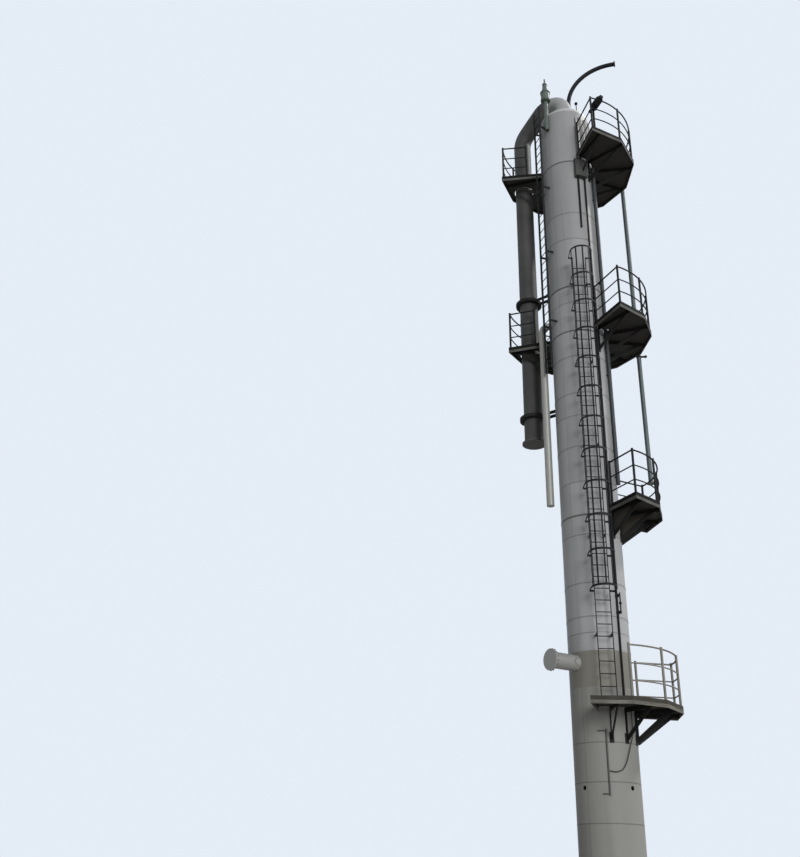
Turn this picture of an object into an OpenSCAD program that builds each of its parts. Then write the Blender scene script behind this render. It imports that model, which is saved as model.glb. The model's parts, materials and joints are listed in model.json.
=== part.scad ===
// Distillation column with its skirt, platforms, ladders and attached lines.
// Millimetres, +Z up. The origin is the centre of the base ring on its underside.
// Azimuth 0 is +X, 90 is +Y, and -90 is the front.

/* [Column] */
// Outside diameter of the cladding
shell_d = 1440; // [1200:10:1800]
// Thickness of the insulation and its cladding
insulation_t = 60; // [30:5:100]
// Wall of the pressure shell
vessel_wall = 16; // [10:1:30]
// Height of the skirt, from the base to the bottom tangent line
skirt_h = 5900; // [5700:50:6100]
// Length of the beige sump cladding above the skirt
sump_h = 810; // [805:5:1000]
// Height of the top of the straight shell
shell_top = 22950; // [22500:50:23500]
// Height of the lap bands over the cladding seams
lap_h = 40; // [20:5:80]
// How far a lap band stands out
lap_t = 5; // [3:1:12]
// Rise of the dished head above the shell
head_rise = 430; // [300:10:560]

/* [Base] */
// Outside diameter of the base ring
base_d = 1840; // [1740:10:2100]
// Thickness of the base ring
base_t = 36; // [25:1:60]
// Diameter of the anchor bolt circle
bolt_circle_d = 1660; // [1640:5:1740]
// Number of anchor bolts
bolt_count = 12; // [8:4:20]
// Diameter of an anchor bolt hole
bolt_hole_d = 42; // [30:1:60]
// Height of the anchor chairs above the base ring
chair_h = 260; // [180:10:400]

/* [Skirt openings] */
// Inside diameter of the skirt access opening
access_d = 520; // [400:10:600]
// Height of the middle of the access opening
access_z = 1250; // [900:50:2000]
// Azimuth of the access opening
access_a = 90; // [70:5:110]
// Diameter of a skirt vent hole
vent_hole_d = 100; // [60:5:150]
// Height of the skirt vent holes
vent_hole_z = 3770; // [3300:10:4500]

/* [Platforms] */
// Distance from the riser out to the corners of the upper and the middle platform
platform_room = 175; // [130:5:225]
// Height of the deck of the upper platform
upper_z = 21180; // [21100:20:21300]
// Height of the deck of the middle platform
middle_z = 15400; // [15200:50:15600]
// Height of the deck of the small platform
small_z = 10200; // [10000:50:10400]
// Drop from the top of the skirt to the deck of the lower platform
lower_drop = 450; // [350:25:600]
// Radius to the corners of the small and the lower platform
low_platform_r = 1780; // [1700:10:1900]
// Thickness of the deck plate
deck_t = 8; // [5:1:15]
// Depth of the edge plate below the deck
channel_h = 100; // [80:5:140]
// Height of the knee bracket foot below the deck
knee_drop = 700; // [600:20:900]
// Gap between a deck and the cladding
deck_gap = 25; // [15:5:50]

/* [Handrails] */
// Height of the top rail above the deck
rail_h = 1200; // [1000:10:1300]
// Diameter of the top rail
rail_d = 40; // [34:1:50]
// Diameter of the two lower rails
knee_rail_d = 32; // [22:1:34]
// Height of the toe board above the deck
toe_h = 60; // [40:5:120]

/* [Ladders] */
// Distance between the middles of the two stringers
ladder_w = 350; // [320:10:420]
// Distance between rungs
rung_pitch = 280; // [250:5:300]
// Diameter of a rung
rung_d = 22; // [18:1:30]
// Distance from the cladding to the rungs
ladder_standoff = 200; // [180:5:260]
// Depth of the stringer flat bar
stringer_w = 60; // [50:1:80]
// Thickness of the stringer flat bar
stringer_t = 12; // [8:1:16]
// Azimuth of the main ladder
main_ladder_a = -80; // [-84:1:-78]
// Height of the top of the main ladder
main_ladder_top = 17400; // [17000:50:17900]
// Inside radius of the ladder cage
cage_r = 290; // [280:10:340]
// Distance between cage hoops
hoop_pitch = 850; // [700:10:1000]
// Azimuth of the left ladder
left_ladder_a = 209; // [207:1:211]
// Height of the top of the left ladder above the straight shell
left_ladder_rise = 400; // [200:25:500]

/* [Overhead line] */
// Outside diameter of the insulated overhead vapour line
vapour_d = 510; // [460:10:540]
// Distance from the column axis to the riser axis
riser_r = 1520; // [1480:5:1550]
// Azimuth of the riser
riser_a = 152; // [151:1:155]
// Height of the lower end of the riser
riser_foot_z = 12600; // [12200:50:13200]
// Bend radius over the head
arch_r = 470; // [400:10:520]

/* [Vent and relief valve] */
// Outside diameter of the gooseneck vent
vent_d = 130; // [80:2:150]
// Bend radius of the gooseneck
gooseneck_r = 1500; // [1200:10:1600]
// Height above the straight shell at which the gooseneck starts to bend
gooseneck_rise = 1200; // [1100:50:1500]

/* [Side lines] */
// Outside diameter of the reflux line
reflux_d = 120; // [90:5:160]
// Distance from the corners of the upper platform out to the reflux line
reflux_room = 100; // [90:5:200]
// Azimuth of the reflux line
reflux_a = 37; // [34:1:40]
// Height of the reflux nozzle above the upper deck
reflux_rise = 580; // [540:10:610]
// Height of the lower end of the reflux line
reflux_foot_z = 11500; // [11300:50:12000]
// Outside diameter of the insulated side draw line
draw_d = 190; // [150:5:220]
// Outside diameter of the bottom return nozzle
return_d = 370; // [340:10:400]
// Height of the bottom return nozzle above the skirt
return_rise = 570; // [500:10:580]
// Outside diameter of the dark downcomer on the right
dark_d = 110; // [80:5:130]
// Outside diameter of a cable conduit
conduit_d = 50; // [30:2:60]

/* [Hidden] */
$fn = 96;

// A hair of room between pieces that seat on each other
seat = 0.3;
// A length that cuts right through a wall
through = 200;
shell_r = shell_d / 2;
vessel_r = shell_r - insulation_t;
ladder_r = shell_r + ladder_standoff;
deck_in_r = shell_r + deck_gap;
vessel_in_r = vessel_r - vessel_wall;
bottom_rise = head_rise - insulation_t;

// Distances from the axis to the platform corners and to the reflux line
platform_r = riser_r + vapour_d / 2 + platform_room;
reflux_r = platform_r + reflux_room;

// Heights that follow the skirt, the shell top or a platform
sump_top = skirt_h + sump_h;
lower_z = skirt_h - lower_drop;
return_z = skirt_h + return_rise;
left_ladder_top = shell_top + left_ladder_rise;
gooseneck_z = shell_top + gooseneck_rise;
reflux_nozzle_z = upper_z + reflux_rise;
// How far the left ladder runs down past the middle platform
left_ladder_foot = 1200;
// Height of the ladder cage above the lower platform
cage_foot = 2100;
// Azimuth of the lamp on the upper platform
lamp_a = -60;

// Joints between the lengths of grey cladding
lower_joint = shell_height(0.346);
middle_joint = shell_height(0.6276);
// Heights of the cladding seams with a lap band over them
seams = concat(
    [for (z = [sump_top, lower_joint, middle_joint]) z + lap_h],
    [for (f = [0.0938, 0.1408, 0.2405, 0.437, 0.5015, 0.5748, 0.7226, 0.7754, 0.885]) shell_height(f)]
);
// Heights of the weld seams on the skirt
skirt_seams = [for (f = [0.322, 0.5153, 0.656]) f * skirt_h];
// The insulated lengths slip over the bends by this much, standing this far proud
sleeve = 16;
sleeve_t = 1.5;

// Angle between the corners of a platform, and the first and last azimuth of each
corner_step = 32;
upper_span = [-66.5, 182.5];
middle_span = [-55, 171];
small_span = [-52, 38];
lower_span = [-98, 20];
// Azimuths of the knee brackets, clear of the lines that pass the platforms
upper_bearers = [-58, -32, 2, 32, 62, 92, 122, 172];
middle_bearers = [-43, -12, 18, 48, 78, 108, 134, 166];
small_bearers = [-43, -14, 16];
lower_bearers = [-78, -49, -18, 10];
// Plate round the edge of a platform, and plate of the knee brackets
edge_t = 8;
bracket_t = 16;
// Posts, wide enough to part the rails that meet at a corner, and the room round them
post_d = 1.45 * rail_d;
post_room = 2;
// Heights of the three rails as shares of the handrail height
rail_levels = [1, 0.67, 0.36];
// Distance from the axis to the inner end of a handrail beside the cladding, or beside a ladder
rail_end_r = shell_r + 130;
rail_gate_r = shell_r + 480;

// The side draw line: its azimuth, height, foot, bend and distance from the axis
draw_a = 185;
draw_z = middle_z + 400;
draw_foot_z = small_z + 300;
draw_bend_r = 200;
draw_r = shell_r + 240;

// The reboiler return stub: its azimuth and length
return_a = -140;
return_len = 800;

// The right downpipe: its azimuth, distance from the axis and the room round it in a deck
down_a = -22;
down_r = shell_r + 25 + dark_d / 2;
// The cable conduits: their azimuths and distance from the axis
long_conduit_a = -50;
short_conduit_a = -66;
conduit_r = shell_r + 10 + conduit_d / 2;
line_room = 15;
// The small conduit on the skirt: its azimuth, its diameter and its two ends
skirt_line_a = -87;
skirt_line_d = 34;
skirt_line_foot = skirt_h - 2300;
skirt_line_top = skirt_h - 930;
// The cable that hangs below the lower platform: azimuth, distance from the skirt and drop
cable_d = 22;
cable_top = lower_drop + deck_t + seat;
cable_path = [
    [-38, 60, cable_top], [-37.8, 58, 640], [-37.8, 56, 820], [-38.4, 55, 960], [-39.6, 55, 1060],
    [-41.6, 55, 1145], [-44, 55, 1205], [-46, 55, 1270], [-48.5, 55, 1360], [-51, 55, 1450],
    [-54, 54, 1560], [-57, 53, 1645], [-60.5, 52, 1720], [-64.5, 50, 1775], [-69, 47, 1802],
    [-74, 43, 1818], [-79, 36, 1818], [-82.5, 30, 1808], [-84.8, 26, 1800]
];

// Height at share f of the length between the skirt and the shell top
function shell_height(f) = skirt_h + f * (shell_top - skirt_h);

function polar(r, a, z = 0) = [r * cos(a), r * sin(a), z];

// A tube standing on the XY plane
module pipe_ring(ro, ri, h) {
    difference() {
        cylinder(h = h, r = ro);
        translate([0, 0, -1])
            cylinder(h = h + 2, r = ri);
    }
}

// The outside of the column with its lap bands, grown by gap
module column_outline(gap) {
    cylinder(h = shell_top, r = shell_r + gap);
    for (z = seams)
        translate([0, 0, z - lap_h / 2 - gap])
            cylinder(h = lap_h + 2 * gap, r = shell_r + lap_t + gap);
}

// A bend in the XZ plane: it starts at the origin going up and turns towards +X
module bend(bend_r, angle, r) {
    translate([bend_r, 0, 0])
        rotate([90, 0, 180])
            rotate_extrude(angle = angle)
                translate([bend_r, 0])
                    circle(r = r);
}

// A straight length that slips over the bend at its foot, its head or both
module straight(h, r, foot = true, head = true) {
    down = foot ? sleeve : 0;
    up = head ? sleeve : 0;
    translate([0, 0, -down])
        cylinder(h = h + down + up, r = r + sleeve_t);
}

// Base

module base_ring() {
    color("dimgray")
    difference() {
        cylinder(h = base_t, d = base_d);
        translate([0, 0, -1])
            cylinder(h = base_t + 2, r = shell_r - 160);
        for (i = [0 : bolt_count - 1])
            rotate([0, 0, (i + 0.5) * 360 / bolt_count])
                translate([bolt_circle_d / 2, 0, -1])
                    cylinder(h = base_t + 2, d = bolt_hole_d);
    }
}

module anchor_chairs() {
    rib_t = 16;
    rib_in = shell_r - 20;
    rib_out = base_d / 2 - 12;
    rib_y = bolt_hole_d / 2 + 26;
    color("dimgray")
    difference() {
        for (i = [0 : bolt_count - 1])
            rotate([0, 0, (i + 0.5) * 360 / bolt_count]) {
                for (s = [-1, 1])
                    translate([rib_in, s * rib_y - rib_t / 2, base_t + seat])
                        cube([rib_out - rib_in, rib_t, chair_h - seat]);
                translate([rib_in, -rib_y - rib_t, base_t + chair_h - 1])
                    cube([rib_out - rib_in, 2 * (rib_y + rib_t), 23]);
            }
        for (i = [0 : bolt_count - 1])
            rotate([0, 0, (i + 0.5) * 360 / bolt_count])
                translate([bolt_circle_d / 2, 0, base_t + chair_h - 10])
                    cylinder(h = 50, d = bolt_hole_d);
        cylinder(h = base_t + chair_h + 50, r = shell_r + seat);
    }
}

// The skirt carries the bottom head on its upper edge
module skirt() {
    collar_out = shell_r + 70;
    color("tan")
    difference() {
        union() {
            rotate_extrude()
                difference() {
                    translate([vessel_in_r, base_t + seat])
                        square([shell_r - vessel_in_r, skirt_h - base_t - 2 * seat]);
                    translate([0, skirt_h])
                        mirror([0, 1])
                            dish_profile(vessel_r + seat, bottom_rise + seat);
                }
            for (z = skirt_seams)
                translate([0, 0, z])
                    pipe_ring(shell_r + 2, shell_r - 5, 12);
            translate([0, 0, access_z])
                rotate([0, 90, access_a])
                    translate([0, 0, vessel_in_r + 10])
                        cylinder(h = collar_out - vessel_in_r - 10, d = access_d + 32);
        }
        translate([0, 0, access_z])
            rotate([0, 90, access_a])
                cylinder(h = collar_out + 10, d = access_d);
        for (a = [-44, 46, 136, 226])
            translate([0, 0, vent_hole_z])
                rotate([0, 90, a])
                    cylinder(h = collar_out + 10, d = vent_hole_d);
    }
}

// Vessel

// Half outline of a dished head of radius r whose top is rise above the flange
module dish_profile(r, rise) {
    knuckle = r * 0.26;
    crown = (pow(r - knuckle, 2) + pow(rise, 2) - pow(knuckle, 2)) / (2 * (rise - knuckle));
    cz = rise - crown;
    reach = 2 * crown;
    slope = [r - knuckle, -cz] / norm([r - knuckle, -cz]);
    intersection() {
        union() {
            intersection() {
                translate([0, cz])
                    circle(r = crown, $fn = 144);
                polygon([[0, cz], [0, cz + reach], [reach * slope[0], cz + reach * slope[1]]]);
            }
            translate([r - knuckle, 0])
                circle(r = knuckle);
            polygon([[0, cz], [r - knuckle, 0], [r - knuckle, -knuckle], [0, -knuckle]]);
        }
        square([r + 1, rise + 1]);
    }
}

// Radius of the crown of a dished head, and the height of its centre over the flange
function crown_r(r, rise) =
    let(k = r * 0.26) (pow(r - k, 2) + pow(rise, 2) - pow(k, 2)) / (2 * (rise - k));

module dish_shell(r, rise, t) {
    rotate_extrude()
        difference() {
            dish_profile(r, rise);
            dish_profile(r - t, rise - t);
        }
}

module bottom_head() {
    color("slategray")
    translate([0, 0, skirt_h + seat])
        mirror([0, 0, 1])
            dish_shell(vessel_r, bottom_rise, vessel_wall);
}

module pressure_shell() {
    color("slategray")
    translate([0, 0, skirt_h + 2 * seat])
        pipe_ring(vessel_r, vessel_in_r, shell_top - skirt_h - 3 * seat);
}

// One length of cladding from z0 to z1 with the lap bands that lie on it
module cladding(z0, z1) {
    difference() {
        union() {
            translate([0, 0, z0 + seat])
                cylinder(h = z1 - z0 - seat, r = shell_r);
            for (z = seams)
                if (z > z0 && z < z1)
                    translate([0, 0, z - lap_h / 2])
                        cylinder(h = lap_h, r = shell_r + lap_t);
        }
        translate([0, 0, z0 - 1])
            cylinder(h = z1 - z0 + 2, r = vessel_r + seat);
    }
}

module sump_cladding() {
    color("tan")
    difference() {
        cladding(skirt_h, sump_top);
        return_hole();
    }
}

module lower_cladding() {
    color("silver")
    cladding(sump_top, lower_joint);
}

module middle_cladding() {
    color("silver")
    cladding(lower_joint, middle_joint);
}

module upper_cladding() {
    color("silver")
    cladding(middle_joint, shell_top - seat);
}

module top_head() {
    color("lightgray")
    translate([0, 0, shell_top + seat])
        dish_shell(shell_r, head_rise, insulation_t);
}

// Overhead line

// The arch leaves the top nozzle, turns over and drops into the riser
module overhead_vapour_line() {
    r = vapour_d / 2;
    nozzle_z = shell_top + head_rise - 40;
    arch_z = shell_top + head_rise + 190;
    cover_h = 130;
    turn = 135;
    slope_a = 180 - turn;
    elbow_r = 650;
    arch_end = [arch_r - arch_r * cos(turn), arch_z + arch_r * sin(turn)];
    span = riser_r - arch_end[0] - elbow_r * (1 - cos(slope_a));
    slope_len = span / sin(slope_a);
    elbow_z = arch_end[1] - slope_len * cos(slope_a) - elbow_r * sin(slope_a);
    color("silver")
    difference() {
        rotate([0, 0, riser_a]) {
            translate([0, 0, nozzle_z])
                straight(arch_z - nozzle_z, r, foot = false);
            translate([0, 0, arch_z])
                bend(arch_r, turn, r);
            translate([arch_end[0], 0, arch_end[1]])
                rotate([0, turn, 0])
                    straight(slope_len, r);
            translate([riser_r, 0, elbow_z])
                rotate([0, 0, 180])
                    bend(elbow_r, slope_a, r);
            translate([riser_r, 0, riser_foot_z])
                straight(elbow_z - riser_foot_z, r, foot = false);
            translate([riser_r, 0, riser_foot_z])
                cylinder(h = 44, r = r + 70);
            translate([0, 0, arch_z - cover_h])
                cylinder(h = cover_h, r = r + 40);
        }
        top_crown(seat);
    }
}

// The crown of the top head as a ball, grown by gap
module top_crown(gap) {
    r = crown_r(shell_r, head_rise);
    translate([0, 0, shell_top + seat + head_rise - r])
        sphere(r = r + gap);
}

// Clamp rings on two arms that hold the riser to the column
module riser_guides() {
    r = vapour_d / 2 + sleeve_t + seat;
    ring_t = 110;
    arm_w = 16;
    clip_h = 90;
    color("dimgray")
    difference() {
        rotate([0, 0, riser_a])
            for (z = [middle_z + 1600, riser_foot_z + 700])
                translate([0, 0, z])
                    difference() {
                        union() {
                            translate([riser_r, 0, 0])
                                cylinder(h = clip_h, r = r + ring_t);
                            for (s = [-1, 1])
                                translate([shell_r - 20, s * 110 - arm_w / 2, 0])
                                    cube([riser_r - shell_r - r + 70, arm_w, clip_h]);
                        }
                        translate([riser_r, 0, -1])
                            cylinder(h = clip_h + 2, r = r);
                    }
        column_outline(seat);
    }
}

module gooseneck_vent() {
    r = vent_d / 2;
    turn = 86;
    run = 120;
    foot_z = shell_top + head_rise - 120;
    color("darkslategray")
    difference() {
        translate([185, 345, 0])
            union() {
                translate([0, 0, foot_z])
                    straight(gooseneck_z - foot_z, r, foot = false);
                translate([0, 0, gooseneck_z])
                    bend(gooseneck_r, turn, r);
                translate([gooseneck_r - gooseneck_r * cos(turn), 0,
                           gooseneck_z + gooseneck_r * sin(turn)])
                    rotate([0, turn, 0]) {
                        straight(run, r, head = false);
                        translate([0, 0, run])
                            cylinder(h = 20, r = r + 34);
                    }
            }
        top_crown(seat);
    }
}

module relief_valve() {
    valve_a = 231;
    foot = shell_top - 600;
    body = shell_top + 560;
    pipe_d = 130;
    color("darkseagreen")
    difference() {
        translate(polar(shell_r + 15 + pipe_d / 2, valve_a)) {
            translate([0, 0, foot])
                cylinder(h = body - foot, d = pipe_d);
            translate([0, 0, body - 30])
                cylinder(h = 30, d = 250);
            translate([0, 0, body])
                cylinder(h = 60, d = 290);
            translate([0, 0, body + 60])
                cylinder(h = 240, d = 270);
            translate([0, 0, body + 300])
                cylinder(h = 40, d = 300);
            translate([0, 0, body + 340])
                cylinder(h = 290, d1 = 210, d2 = 130);
            translate([0, 0, body + 630])
                cylinder(h = 60, d = 150);
            translate([0, 0, body + 690])
                cylinder(h = 200, d = 50);
            translate([0, 0, foot + 120])
                rotate([0, 90, valve_a + 180])
                    cylinder(h = pipe_d, d = 90);
        }
        cylinder(h = shell_top, r = shell_r + seat);
    }
}

// Platforms

// Azimuths of the corners of a platform that runs from span[0] to span[1]
function corner_angles(span) =
    let(n = ceil((span[1] - span[0]) / corner_step), step = (span[1] - span[0]) / n)
    [for (i = [0 : n]) span[0] + i * step];

// Corners of that platform at radius r
function corners(r, span) = [for (a = corner_angles(span)) [r * cos(a), r * sin(a)]];

// A flat sector between a round hole and a run of straight edges
module sector(r, span, h, hole_r) {
    difference() {
        linear_extrude(height = h)
            polygon(concat([[0, 0]], corners(r, span)));
        translate([0, 0, -1])
            cylinder(h = h + 2, r = hole_r);
    }
}

// Half the angle between two corners, and the distance from the axis to a side at azimuth a
function half_gap(span) = (corner_angles(span)[1] - span[0]) / 2;
function side_reach(r, span, a) =
    let(half = half_gap(span), i = floor((a - span[0]) / (2 * half)))
    r * cos(half) / cos(a - span[0] - (2 * i + 1) * half);

// Flat deck plate inside the plates round its edge
module deck(z, r, span) {
    half = half_gap(span);
    edge = edge_t + seat;
    difference() {
        translate([0, 0, z - deck_t])
            sector(r - edge_t - seat / cos(half), span, deck_t, deck_in_r);
        for (i = [0, 1])
            rotate([0, 0, span[i]])
                translate([0, i == 0 ? -through : -edge, z - through])
                    cube([2 * r, through + edge, 2 * through]);
    }
}

// Plates round the edge of a deck, mitred at the corners, with one along each end
module edge_plates(z, r, span) {
    angles = corner_angles(span);
    last = len(angles) - 1;
    half = half_gap(span);
    trim = atan(seat / 2 / r);
    tip = r - edge_t - seat / cos(half);
    translate([0, 0, z - deck_t - channel_h])
        linear_extrude(height = channel_h + deck_t + toe_h) {
            for (i = [1 : last])
                polygon([
                    for (p = [[r, i - 1], [r, i], [r - edge_t, i], [r - edge_t, i - 1]])
                        let(a = angles[p[1]] + (p[1] == i ? -trim : trim))
                            [p[0] * cos(a), p[0] * sin(a)]
                ]);
            for (i = [0, 1])
                rotate(span[i])
                    polygon([
                        for (q = [[deck_in_r, 0], [tip, 0], [tip - edge_t * tan(half), 1], [deck_in_r, 1]])
                            [q[0], (i == 0 ? edge_t : -edge_t) * q[1]]
                    ]);
        }
}

// Knee brackets under a deck, reaching the inside of its edge plates
module brackets(z, r, span, azimuths) {
    difference() {
        for (a = azimuths)
            rotate([0, 0, a])
                translate([0, 0, z - deck_t - seat - channel_h])
                    knee_bracket(side_reach(r - edge_t, span, a)
                                 - bracket_t / 2 * tan(half_gap(span)) - 2 * seat);
        column_outline(seat);
    }
}

// Radial bearer with a leg down the cladding, a diagonal strut between them and a foot plate.
// Its top is channel_h above the origin.
module knee_bracket(tip) {
    inner = shell_r - 15;
    leg = shell_r + 55;
    toe = channel_h - knee_drop;
    strut_h = 120;
    knee = tip - 150;
    translate([0, bracket_t / 2, 0])
        rotate([90, 0, 0])
            difference() {
                linear_extrude(height = bracket_t)
                    polygon([
                        [inner, channel_h], [tip, channel_h], [tip, 0], [knee, 0],
                        [leg, toe], [inner, toe]
                    ]);
                translate([0, 0, -1])
                    linear_extrude(height = bracket_t + 2)
                        polygon([[leg, 0], [knee - 1.5 * strut_h, 0], [leg, toe + strut_h]]);
            }
    translate([inner, -50, toe - 60])
        cube([12 + shell_r - inner, 100, 220]);
}

// Posts with three rails between them, as separate panels from corner number first on.
// With first = 0 a panel also closes that end; the last end is closed as far as end_r.
module handrail(z, r, span, end_r, first = 0) {
    angles = corner_angles(span);
    last = len(angles) - 1;
    half = half_gap(span);
    inset = edge_t + post_d / 2 + post_room;
    turn = asin(inset / r);
    ring = ((r - edge_t) * cos(half) - post_d / 2 - post_room) / cos(half - turn);
    posts = concat(
        first == 0 ? [[rail_end_r, span[0] + asin(inset / rail_end_r)], [ring, span[0] + turn]] : [],
        [for (i = [max(first, 1) : last - 1]) [ring, angles[i]]],
        [[ring, span[1] - turn], [end_r, span[1] - asin(inset / end_r)]]
    );
    count = len(posts) - 1;
    translate([0, 0, z + seat])
        for (i = [1 : count])
            panel(posts[i - 1], posts[i], i == count);
}

// The post at p and its rails up to the post at q, with that post too if closed.
// Posts are given as distance and azimuth.
module panel(p, q, closed) {
    run = polar(q[0], q[1]) - polar(p[0], p[1]);
    difference() {
        union() {
            post(p, post_d);
            if (closed)
                post(q, post_d);
            for (k = rail_levels)
                translate([0, 0, k * rail_h - rail_d])
                    if (p[0] == q[0])
                        rotate([0, 0, p[1]])
                            rotate_extrude(angle = q[1] - p[1], $fn = 240)
                                translate([p[0], 0])
                                    circle(d = k == 1 ? rail_d : knee_rail_d);
                    else
                        translate(polar(p[0], p[1]))
                            rotate([0, 90, atan2(run[1], run[0])])
                                cylinder(h = norm(run), d = k == 1 ? rail_d : knee_rail_d);
        }
        if (!closed)
            translate([0, 0, -10])
                post(q, post_d + 2 * seat);
    }
}

module post(p, d) {
    translate(polar(p[0], p[1]))
        cylinder(h = rail_h, d = d);
}

// The lines that pass a deck at height z, each with room round it
module passing_lines(z) {
    lines = [
        [riser_r, riser_a, vapour_d / 2 + 30, riser_foot_z, shell_top],
        [down_r, down_a, dark_d / 2 + line_room, small_z + 1, upper_z - 1],
        [conduit_r, long_conduit_a, conduit_d / 2 + line_room, lower_z + 1, upper_z - 1]
    ];
    for (q = lines)
        if (z > q[3] && z < q[4])
            translate(polar(q[0], q[1], z - through / 2))
                cylinder(h = through, r = q[2]);
}

module upper_deck() {
    color("dimgray")
    difference() {
        deck(upper_z, platform_r, upper_span);
        passing_lines(upper_z);
    }
}
module upper_edge() {
    color("gray")
    edge_plates(upper_z, platform_r, upper_span);
}
module upper_brackets() {
    color("dimgray")
    brackets(upper_z, platform_r, upper_span, upper_bearers);
}
module upper_handrail() {
    color("darkslategray")
    handrail(upper_z, platform_r, upper_span, rail_gate_r);
}

// A thick stub on a post at the front corner of the upper platform
module platform_lamp() {
    post_h = 990;
    lamp_len = 640;
    overhang = 240;
    post_in = 250;
    color("black") {
        translate(polar(platform_r - post_in, lamp_a, upper_z + seat))
            cylinder(h = post_h, d = 80);
        translate(polar(platform_r + overhang - lamp_len, lamp_a, upper_z + post_h))
            rotate([0, 90, lamp_a])
                cylinder(h = lamp_len, d = 120);
    }
}

module middle_deck() {
    color("dimgray")
    difference() {
        deck(middle_z, platform_r, middle_span);
        passing_lines(middle_z);
    }
}
module middle_edge() {
    color("gray")
    edge_plates(middle_z, platform_r, middle_span);
}
module middle_brackets() {
    color("dimgray")
    brackets(middle_z, platform_r, middle_span, middle_bearers);
}
module middle_handrail() {
    color("darkslategray")
    handrail(middle_z, platform_r, middle_span, rail_gate_r);
}

module small_deck() {
    color("dimgray")
    difference() {
        deck(small_z, low_platform_r, small_span);
        passing_lines(small_z);
    }
}
module small_edge() {
    color("gray")
    difference() {
        edge_plates(small_z, low_platform_r, small_span);
        passing_lines(small_z);
    }
}
module small_brackets() {
    color("dimgray")
    brackets(small_z, low_platform_r, small_span, small_bearers);
}
module small_handrail() {
    color("darkslategray")
    handrail(small_z, low_platform_r, small_span, rail_end_r);
}

module lower_deck() {
    color("dimgray")
    deck(lower_z, low_platform_r, lower_span);
}
module lower_edge() {
    color("gray")
    edge_plates(lower_z, low_platform_r, lower_span);
}
module lower_brackets() {
    color("dimgray")
    brackets(lower_z, low_platform_r, lower_span, lower_bearers);
}
module lower_handrail() {
    color("darkslategray")
    handrail(lower_z, low_platform_r, lower_span, rail_end_r, 1);
}

// Ladders

// A straight ladder from z0 to z1 on the cladding at azimuth a, held by clips
module ladder(a, z0, z1) {
    rungs = floor((z1 - z0 - 200) / rung_pitch);
    clip_h = 70;
    clips = ceil((z1 - z0) / 2600);
    difference() {
        rotate([0, 0, a]) {
            for (s = [-1, 1])
                translate([ladder_r - stringer_w / 2, s * ladder_w / 2 - stringer_t / 2, z0])
                    cube([stringer_w, stringer_t, z1 - z0]);
            for (i = [0 : rungs])
                translate([ladder_r, -ladder_w / 2, z0 + 120 + i * rung_pitch])
                    rotate([-90, 0, 0])
                        cylinder(h = ladder_w, d = rung_d);
            for (i = [1 : clips], s = [-1, 1])
                translate([shell_r - 60, s * ladder_w / 2 - stringer_t / 2,
                           z0 + i * (z1 - z0) / clips - 12 * clip_h])
                    cube([ladder_standoff + 50, stringer_t, clip_h]);
        }
        column_outline(seat);
    }
}

module main_ladder() {
    color("darkslategray")
    ladder(main_ladder_a, lower_z + seat, main_ladder_top);
}

module left_ladder() {
    color("darkslategray")
    ladder(left_ladder_a, middle_z - left_ladder_foot, left_ladder_top);
}

// Hoops and straps round the climber
module ladder_cage() {
    foot = lower_z + cage_foot;
    hoops = floor((main_ladder_top - foot) / hoop_pitch);
    bar_t = 8;
    mid = ladder_r + stringer_w / 2 + cage_r;
    leg = mid - ladder_r - stringer_w / 2 - seat;
    color("darkslategray")
    rotate([0, 0, main_ladder_a]) {
        for (i = [0 : hoops])
            translate([0, 0, main_ladder_top - 60 - i * hoop_pitch]) {
                translate([mid, 0, 0])
                    rotate([0, 0, -90])
                        rotate_extrude(angle = 180)
                            translate([cage_r, 0])
                                square([bar_t, 50]);
                for (s = [-1, 1])
                    translate([mid - leg, s * (cage_r + bar_t / 2) - bar_t / 2, 0])
                        cube([leg, bar_t, 50]);
                for (s = [-1, 1])
                    translate([mid - leg, min(s * ladder_w / 2, s * (cage_r + bar_t)), 0])
                        cube([bar_t, cage_r + bar_t - ladder_w / 2, 50]);
            }
        for (b = [-72, -36, 0, 36, 72])
            translate([mid, 0, main_ladder_top - 60 - hoops * hoop_pitch])
                rotate([0, 0, b])
                    translate([cage_r - 6, -20, 0])
                        cube([8, 40, hoops * hoop_pitch + 50]);
    }
}

// Side lines

module reflux_line() {
    r = reflux_d / 2;
    bend_r = 200;
    foot_h = reflux_nozzle_z - bend_r - reflux_foot_z;
    color("steelblue")
    difference() {
        rotate([0, 0, reflux_a]) {
            translate([shell_r - 30, 0, reflux_nozzle_z])
                rotate([0, 90, 0])
                    straight(reflux_r - bend_r - shell_r + 30, r, foot = false);
            translate([reflux_r, 0, reflux_nozzle_z - bend_r])
                rotate([0, 0, 180])
                    bend(bend_r, 90, r);
            translate([reflux_r, 0, reflux_foot_z])
                straight(foot_h, r, foot = false);
            translate([reflux_r, 0, reflux_foot_z])
                cylinder(h = 26, r = r + 50);
        }
        cylinder(h = shell_top, r = shell_r + seat);
    }
}

module side_draw_line() {
    r = draw_d / 2;
    color("whitesmoke")
    difference() {
        rotate([0, 0, draw_a]) {
            translate([shell_r - 30, 0, draw_z])
                rotate([0, 90, 0])
                    straight(draw_r - draw_bend_r - shell_r + 30, r, foot = false);
            translate([draw_r, 0, draw_z - draw_bend_r])
                rotate([0, 0, 180])
                    bend(draw_bend_r, 90, r);
            translate([draw_r, 0, draw_foot_z])
                straight(draw_z - draw_bend_r - draw_foot_z, r, foot = false);
        }
        cylinder(h = shell_top, r = shell_r + seat);
    }
}

// The stub of the reboiler return, from inside the cladding to its flange
module return_stub(r) {
    rotate([0, 0, return_a])
        translate([vessel_in_r, 0, return_z])
            rotate([0, 90, 0])
                cylinder(h = return_len, r = r);
}

module return_hole() {
    return_stub(return_d / 2 + seat);
}

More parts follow.
